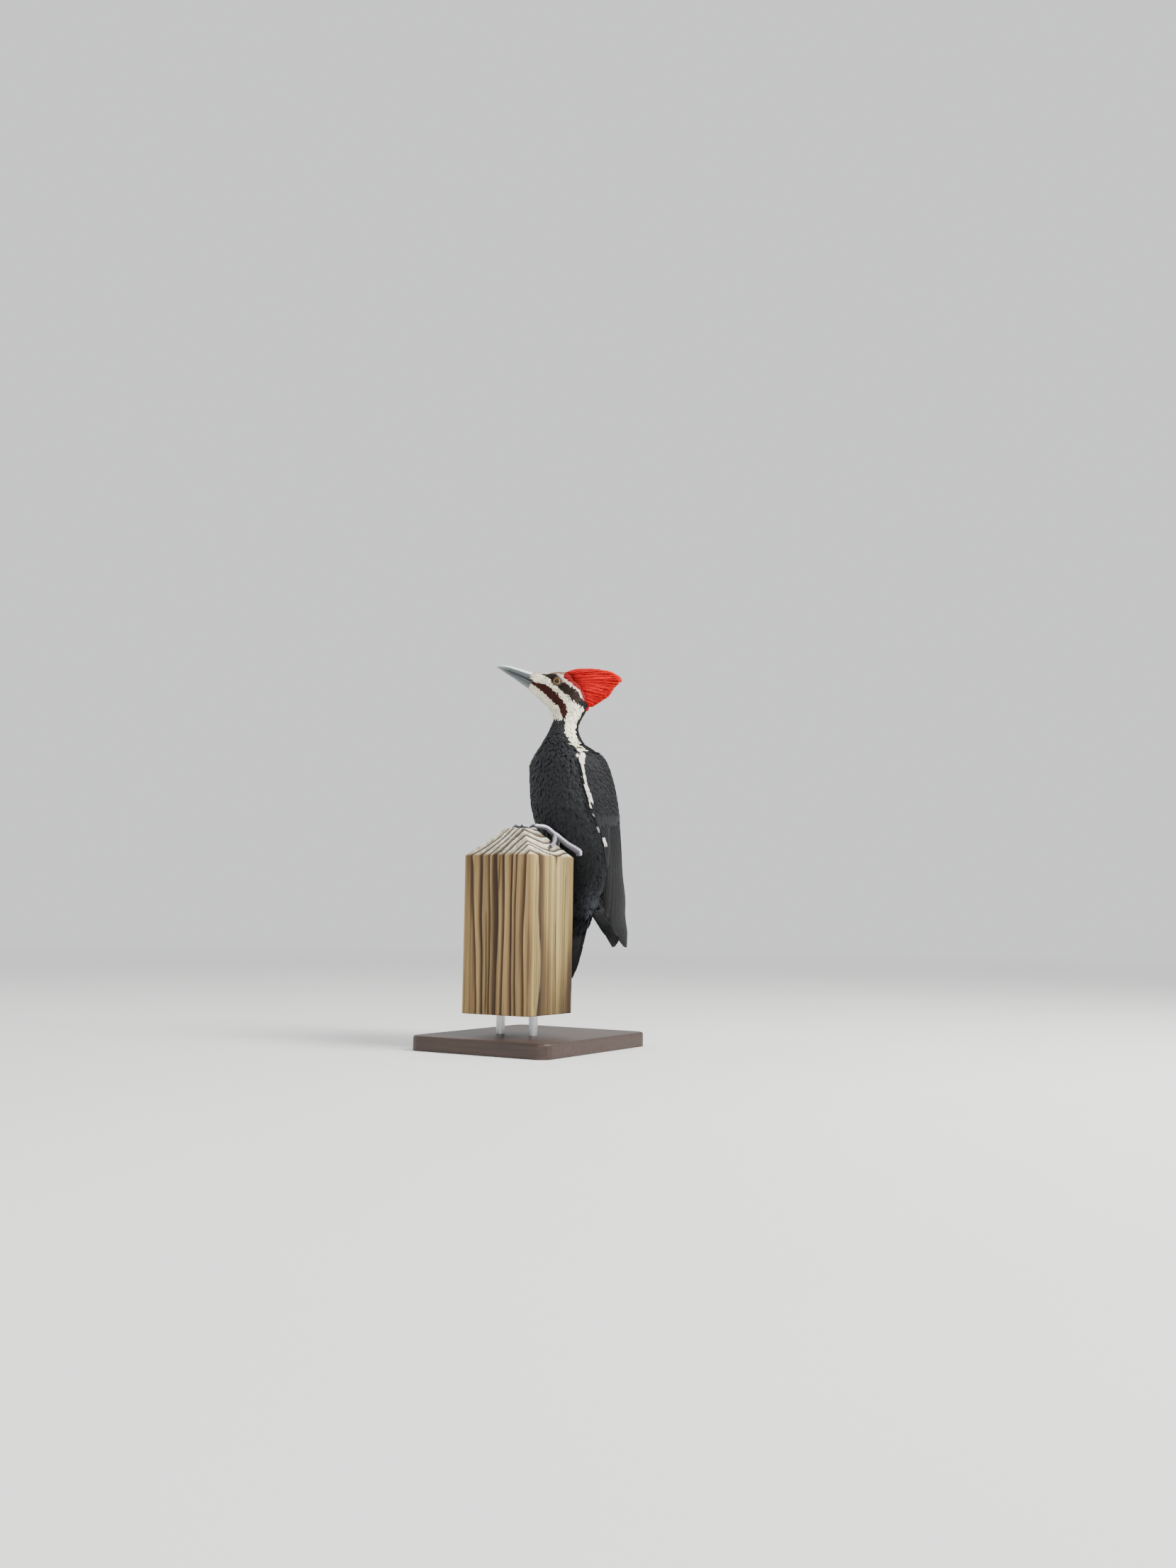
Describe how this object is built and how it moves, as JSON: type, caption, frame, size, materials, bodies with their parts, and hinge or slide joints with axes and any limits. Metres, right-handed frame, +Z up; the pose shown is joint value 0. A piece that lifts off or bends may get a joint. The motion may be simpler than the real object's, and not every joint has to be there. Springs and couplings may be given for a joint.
{
  "type": "pileated woodpecker",
  "caption": "Life-size crested woodpecker clinging to the top of a short square post, tail braced against its side, on a flat display stand.",
  "frame": {"origin": "middle of the stand base's underside", "axes": "+Z up; the bird's breast faces about -Y and its left side is towards +X; the post stands towards -Y from the middle of the base"},
  "size_m": [0.18, 0.24, 0.4406],
  "materials": {
    "head_plumage": "short cream and black-brown feathers",
    "crest_plumage": "long loose scarlet feathers",
    "neck_plumage": "short feathers, cream stripe on black",
    "body_plumage": "soft charcoal black feathers",
    "tail_plumage": "stiff black feathers",
    "wing_plumage": "smooth slate black feathers with a broken white edge",
    "bill": "satin slate-grey horn",
    "eye": "glossy pale yellow iris with a black pupil",
    "foot": "dull blue-grey scaled skin, dark claws",
    "post_wood": "weathered softwood, rough-sawn",
    "stand_base": "satin black lacquer",
    "stand_rod": "brushed"
  },
  "bodies": {
    "root": {"head": "head_plumage", "crest": "crest_plumage", "neck": "neck_plumage", "trunk": "body_plumage", "tail": "tail_plumage", "wing_left": "wing_plumage", "wing_right": "wing_plumage", "thigh_left": "body_plumage", "thigh_right": "body_plumage", "bill_upper": "bill", "bill_lower": "bill", "eye_left": "eye", "eye_right": "eye", "foot_left": "foot", "foot_right": "foot", "perch_post": "post_wood", "stand_base": "stand_base", "stand_rod_left": "stand_rod", "stand_rod_right": "stand_rod"}
  },
  "joints": []
}
